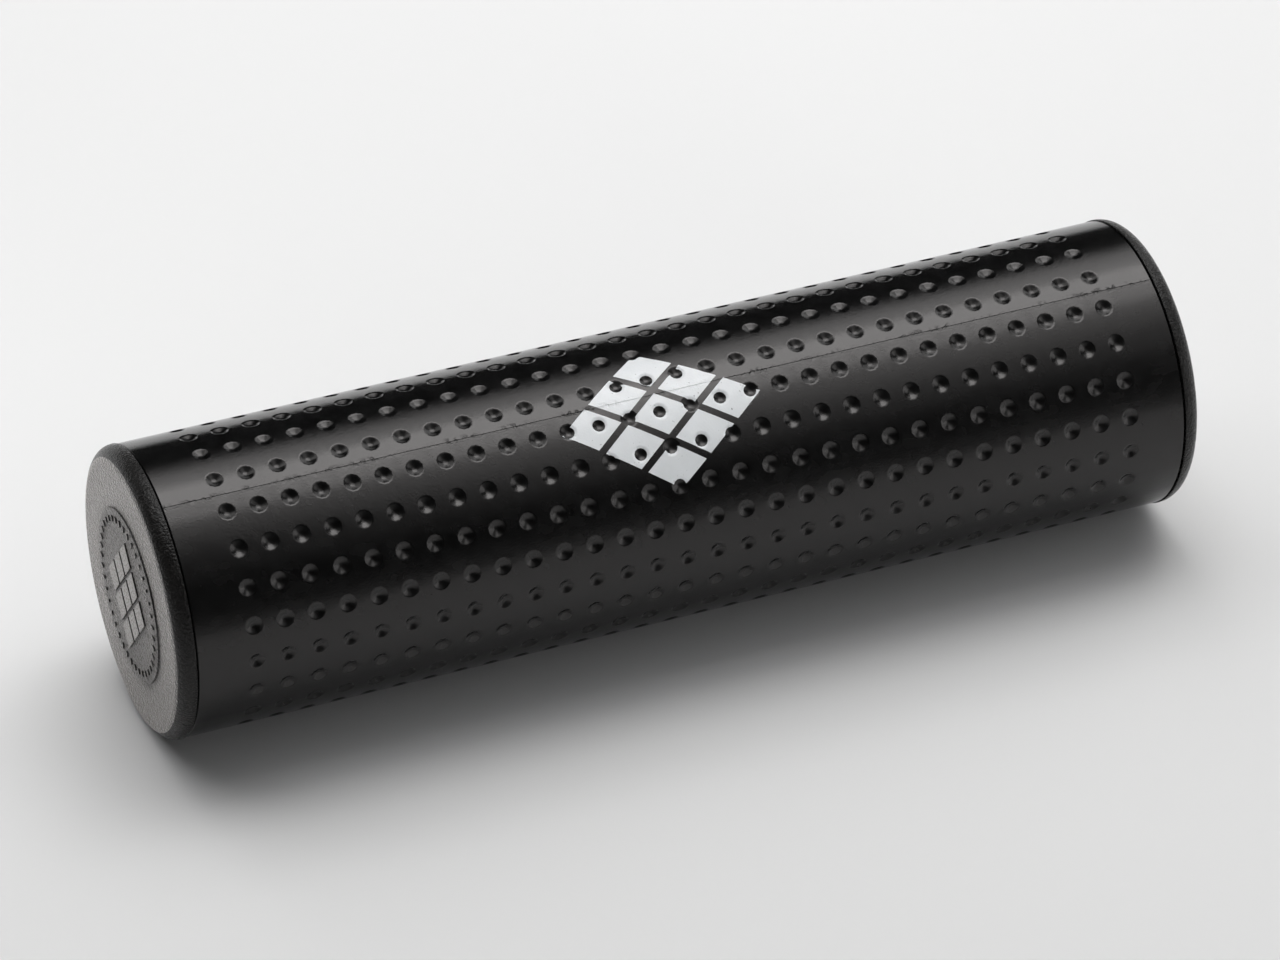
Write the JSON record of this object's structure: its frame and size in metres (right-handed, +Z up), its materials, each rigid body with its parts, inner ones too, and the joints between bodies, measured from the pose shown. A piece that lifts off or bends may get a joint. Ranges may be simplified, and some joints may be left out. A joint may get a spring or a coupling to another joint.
{
  "type": "percussion shaker",
  "caption": "Hand-held tube shaker: a black metal tube with rows of punched dimples, closed by two moulded plastic end caps, with loose steel shot that runs along the inside.",
  "frame": {"origin": "midway along the tube, on the surface that the shaker lies on, under the tube's axis", "axes": "+X along the tube towards the right end cap, +Z up, -Y towards the side that faces the viewer"},
  "size_m": [0.2224, 0.0602, 0.0603],
  "materials": {
    "tube_coat": "thin-walled aluminium with a black satin coat, one fine seam line",
    "cap_plastic": "black moulded plastic with a fine spark-eroded grain",
    "shot_steel": "plain steel balls"
  },
  "bodies": {
    "shaker_shell": {"dimpled_tube": "tube_coat", "left_end_cap": "cap_plastic", "right_end_cap": "cap_plastic"},
    "shot_file_1": {"shot_ball_1_01": "shot_steel", "shot_ball_1_02": "shot_steel", "shot_ball_1_03": "shot_steel", "shot_ball_1_04": "shot_steel", "shot_ball_1_05": "shot_steel", "shot_ball_1_06": "shot_steel", "shot_ball_1_07": "shot_steel", "shot_ball_1_08": "shot_steel", "shot_ball_1_09": "shot_steel", "shot_ball_1_10": "shot_steel", "shot_ball_1_11": "shot_steel", "shot_ball_1_12": "shot_steel"},
    "shot_file_2": {"shot_ball_2_01": "shot_steel", "shot_ball_2_02": "shot_steel", "shot_ball_2_03": "shot_steel", "shot_ball_2_04": "shot_steel", "shot_ball_2_05": "shot_steel", "shot_ball_2_06": "shot_steel", "shot_ball_2_07": "shot_steel", "shot_ball_2_08": "shot_steel", "shot_ball_2_09": "shot_steel", "shot_ball_2_10": "shot_steel", "shot_ball_2_11": "shot_steel", "shot_ball_2_12": "shot_steel"},
    "shot_file_3": {"shot_ball_3_01": "shot_steel", "shot_ball_3_02": "shot_steel", "shot_ball_3_03": "shot_steel", "shot_ball_3_04": "shot_steel", "shot_ball_3_05": "shot_steel", "shot_ball_3_06": "shot_steel", "shot_ball_3_07": "shot_steel", "shot_ball_3_08": "shot_steel", "shot_ball_3_09": "shot_steel", "shot_ball_3_10": "shot_steel", "shot_ball_3_11": "shot_steel", "shot_ball_3_12": "shot_steel"},
    "shot_file_4": {"shot_ball_4_01": "shot_steel", "shot_ball_4_02": "shot_steel", "shot_ball_4_03": "shot_steel", "shot_ball_4_04": "shot_steel", "shot_ball_4_05": "shot_steel", "shot_ball_4_06": "shot_steel", "shot_ball_4_07": "shot_steel", "shot_ball_4_08": "shot_steel", "shot_ball_4_09": "shot_steel", "shot_ball_4_10": "shot_steel", "shot_ball_4_11": "shot_steel", "shot_ball_4_12": "shot_steel"}
  },
  "joints": [
    {"name": "shot_file_1_run", "type": "slide", "parent": "shaker_shell", "child": "shot_file_1", "axis": [1, 0, 0], "range_m": [-0.0639, 0.0562]},
    {"name": "shot_file_2_run", "type": "slide", "parent": "shaker_shell", "child": "shot_file_2", "axis": [1, 0, 0], "range_m": [-0.0585, 0.0614]},
    {"name": "shot_file_3_run", "type": "slide", "parent": "shaker_shell", "child": "shot_file_3", "axis": [1, 0, 0], "range_m": [-0.057, 0.0622]},
    {"name": "shot_file_4_run", "type": "slide", "parent": "shaker_shell", "child": "shot_file_4", "axis": [1, 0, 0], "range_m": [-0.0636, 0.0564]}
  ]
}
